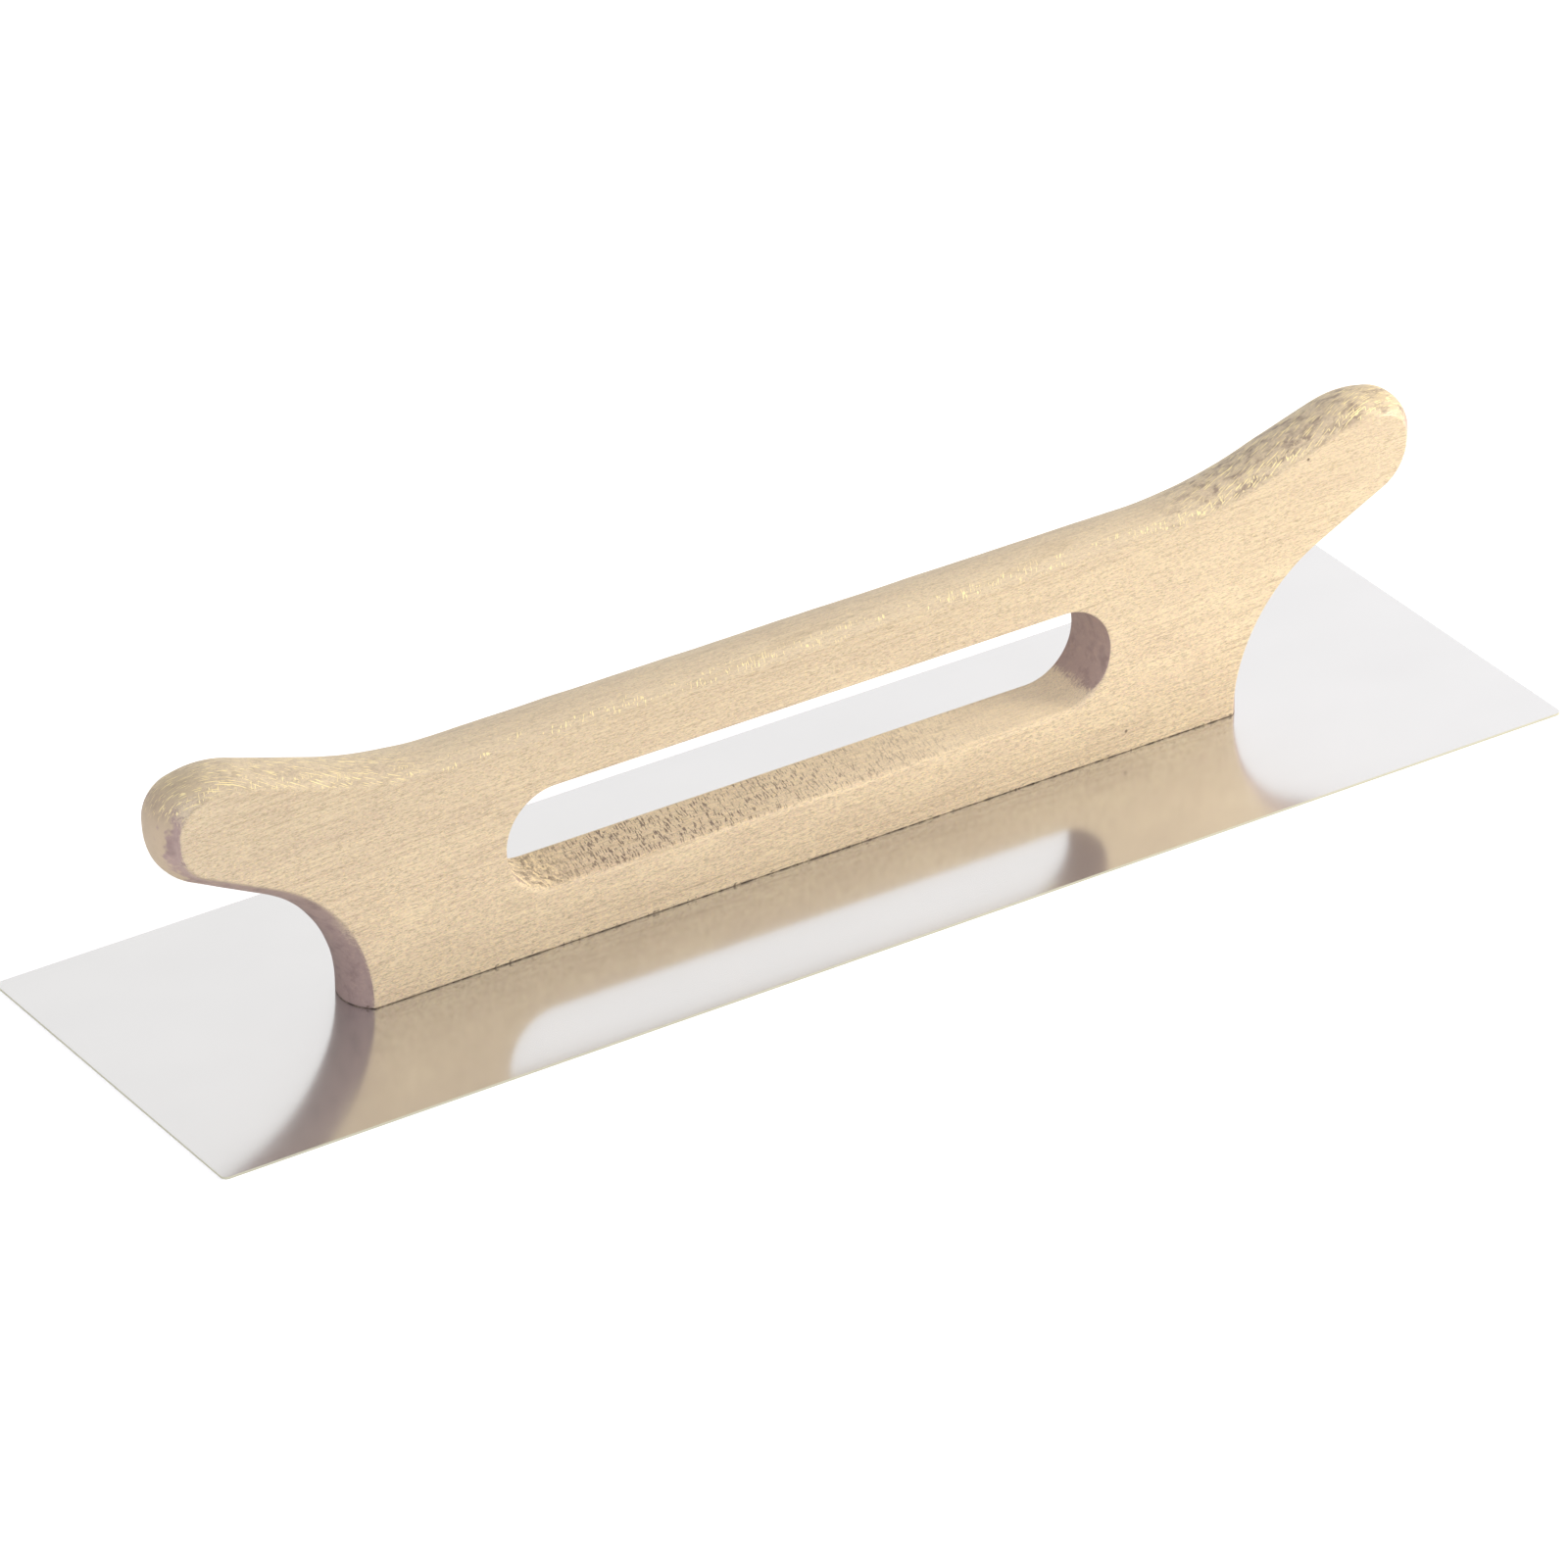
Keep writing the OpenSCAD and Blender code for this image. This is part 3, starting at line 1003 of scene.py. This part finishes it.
def blade_material():
    """Polished stainless sheet with faint rolling lines and a matt sheared edge."""
    material, tree, place = new_material("stainless_polished_sheet")
    spot = place.outputs["Object"]
    normal = add(tree, "SeparateXYZ", {0: place.outputs["Normal"]})
    level = add(tree, "Math", {0: normal.outputs["Z"]}, operation="ABSOLUTE")
    face = add(tree, "MapRange", {"Value": level, "From Min": FACE_LEVEL[0],
                                  "From Max": FACE_LEVEL[1]})
    line_at = add(tree, "Mapping", {"Vector": spot, "Scale": per_mm(*ROLLING_LINE)})
    line = add(tree, "TexNoise", {"Vector": line_at, "Scale": 1, "Detail": 4, "Roughness": 0.6})
    cloud_at = add(tree, "Mapping", {"Vector": spot, "Scale": per_mm(*POLISH_CLOUD)})
    cloud = add(tree, "TexNoise", {"Vector": cloud_at, "Scale": 1, "Detail": 2})
    sheen = add(tree, "MapRange", {"Value": line, "To Min": SHEEN[0], "To Max": SHEEN[1]})
    sheen = add(tree, "Math", {0: cloud, 1: CLOUD_SHEEN, 2: sheen}, operation="MULTIPLY_ADD")
    roughness = add(tree, "Mix", {"Factor": face, "A": EDGE_ROUGHNESS, "B": sheen})
    bright = add(tree, "Mix", {"Factor": cloud, "A": linear("#DADADB"), "B": linear("#E0E0E1")},
                 data_type="RGBA")
    colour = add(tree, "Mix", {"Factor": face, "A": linear("#CBC9B8"), "B": bright},
                 data_type="RGBA")
    steel = add(tree, "BsdfPrincipled", {"Base Color": colour, "Metallic": 1.0,
                                         "Roughness": roughness})
    haze = add(tree, "BsdfPrincipled", {"Base Color": colour, "Metallic": 1.0,
                                        "Roughness": HAZE_ROUGHNESS})
    both = add(tree, "MixShader", {0: HAZE, 1: steel, 2: haze})
    add(tree, "OutputMaterial", {"Surface": both})
    return material


dress(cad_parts["blade"], blade_material())
print("blade:", [round(size / MM, 1) for size in blade_high - blade_low], "mm")

# %% [markdown]
# ## Screws
# Countersunk stainless screws, turned and left as they come: a soft grey with the
# fine grit of the lathe. Little of them shows, so the CAD solids stay, and the
# one finish serves all six.

# %% Screws
# Marks of the lathe, drawn coarser than real ones, to show
LATHE_GRIT = (0.6, 0.6, 0.2)


def screw_material():
    """Turned stainless steel with a fine, uneven grit."""
    material, tree, place = new_material("stainless_turned_screw")
    spot = place.outputs["Object"]
    grit_at = add(tree, "Mapping", {"Vector": spot, "Scale": per_mm(*LATHE_GRIT)})
    grit = add(tree, "TexNoise", {"Vector": grit_at, "Scale": 1, "Detail": 3})
    roughness = add(tree, "MapRange", {"Value": grit, "To Min": 0.22, "To Max": 0.42})
    colour = add(tree, "Mix", {"Factor": grit, "A": linear("#B9B8B5"), "B": linear("#CFCECB")},
                 data_type="RGBA")
    bump = add(tree, "Bump", {"Height": grit, "Strength": 0.2, "Distance": 0.03 * MM})
    steel = add(tree, "BsdfPrincipled", {"Base Color": colour, "Metallic": 1.0,
                                         "Roughness": roughness, "Normal": bump})
    add(tree, "OutputMaterial", {"Surface": steel})
    return material


screw_steel = screw_material()
for name in screws:
    dress(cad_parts[name], screw_steel)
print("screws dressed:", len(screws))

# %% [markdown]
# ## Studio: the floor
# The tool lies on a sheet of white paper that is much wider than the picture, so
# that no edge or corner of it shows or is mirrored.

# %% Floor
# Metres, and a hair of air under the sheet
FLOOR_SIZE = 20
FLOOR_GAP = 0.15 * MM
# The paper glows a little, so that it stays white in the shade
FLOOR_GLOW = 0.36


def add_floor():
    """A large pale sheet just under the blade."""
    bm = bmesh.new()
    bmesh.ops.create_grid(bm, x_segments=1, y_segments=1, size=FLOOR_SIZE / 2,
                          matrix=Matrix.Translation((0, 0, -FLOOR_GAP)))
    mesh = bpy.data.meshes.new("floor")
    bm.to_mesh(mesh)
    bm.free()
    floor = bpy.data.objects.new("floor", mesh)
    bpy.context.scene.collection.objects.link(floor)
    material, tree, place = new_material("floor_white_paper")
    paper = add(tree, "BsdfPrincipled", {"Base Color": linear("#FAFAFA"), "Roughness": 1.0,
                                         "Specular IOR Level": 0.0,
                                         "Emission Color": linear("#FFFFFF"),
                                         "Emission Strength": FLOOR_GLOW})
    add(tree, "OutputMaterial", {"Surface": paper})
    dress(floor, material)
    return floor


floor = add_floor()
print("floor:", FLOOR_SIZE, "m wide")

# %% [markdown]
# ## Studio: softboxes
# Large softboxes stand round the table. They could be lamps, but a polished
# sheet mirrors the outline of a lamp, so they are broad glows in the sky instead.
# There is hardly any light from the left, which gives the left-facing edges their
# cool shade, and the strong glows behind and on the right keep the sheet bright.

# %% Sky of softboxes
# Each softbox: where it stands, its strength and its colour
SOFTBOXES = [
    ((1, 0, 0.25), 1.36, "#FAFCFF"),
    ((0.7, 0.7, 0.25), 0.86, "#FFFCFF"),
    ((0, 1, 0.25), 0.8, "#FFFFF4"),
    ((0.7, -0.7, 0.25), 0.14, "#FFFFFF"),
    ((-0.55, -0.55, 0.65), 1.72, "#FBFBFF"),
    ((-0.9, -0.4, 0.2), 0.22, "#B4ACFF"),
    ((0, 0, 1), 0.2, "#FFFFFF"),
]
# A glow falls off as this power of how squarely it is faced
SOFTNESS = 4.0


def add_sky():
    """White to the camera, and for lighting the sum of all the softboxes."""
    world = bpy.data.worlds.new("studio")
    bpy.context.scene.world = world
    world.use_nodes = True
    tree = world.node_tree
    tree.nodes.clear()
    way = add(tree, "TexCoord").outputs["Generated"]
    total = None
    for direction, strength, hex_colour in SOFTBOXES:
        facing = add(tree, "VectorMath", {0: way, 1: Vector(direction).normalized()},
                     operation="DOT_PRODUCT").outputs["Value"]
        facing = add(tree, "Math", {0: facing, 1: 0.0}, operation="MAXIMUM")
        glow = add(tree, "Math", {0: facing, 1: SOFTNESS}, operation="POWER")
        full = [strength * c for c in linear(hex_colour)[:3]]
        box = add(tree, "VectorMath", {0: full, "Scale": glow}, operation="SCALE")
        total = add(tree, "VectorMath", {0: total, 1: box}, operation="ADD") if total else box
    seen = add(tree, "LightPath").outputs["Is Camera Ray"]
    white = add(tree, "Mix", {"Factor": seen, "A": total, "B": (1.0, 1.0, 1.0)}, data_type="VECTOR")
    light = add(tree, "Background", {"Color": white, "Strength": 1.0})
    add(tree, "OutputWorld", {"Surface": light})


add_sky()
print("softboxes:", len(SOFTBOXES))

# %% [markdown]
# ## Studio: the lamp
# One soft warm lamp stands low on the right. It brightens that end of the handle
# and gives the horn's tip its glint. The view transform is the plain one, without
# a film curve, so that each colour comes out as it was set.

# %% Lamp
LAMP_FROM = Vector((0.86, -0.42, 0.30))
# Metres, metres and watts
LAMP_DISTANCE = 1.25
LAMP_WIDTH = 0.45
LAMP_POWER = 10.8
LAMP_COLOUR = "#FFF5DC"


def add_lamp(low, high):
    """One soft square lamp, aimed at the middle of the object."""
    data = bpy.data.lights.new("lamp", "AREA")
    data.size = LAMP_WIDTH
    data.energy = LAMP_POWER
    data.color = linear(LAMP_COLOUR)[:3]
    lamp = bpy.data.objects.new("lamp", data)
    away = LAMP_FROM.normalized()
    lamp.location = (low + high) / 2 + away * LAMP_DISTANCE
    lamp.rotation_euler = (-away).to_track_quat("-Z", "Y").to_euler()
    bpy.context.scene.collection.objects.link(lamp)
    return lamp


lamp = add_lamp(*CAD_BOX)
bpy.context.scene.view_settings.view_transform = "Standard"
print("lamp:", LAMP_POWER, "W at", tuple(round(x, 2) for x in lamp.location))
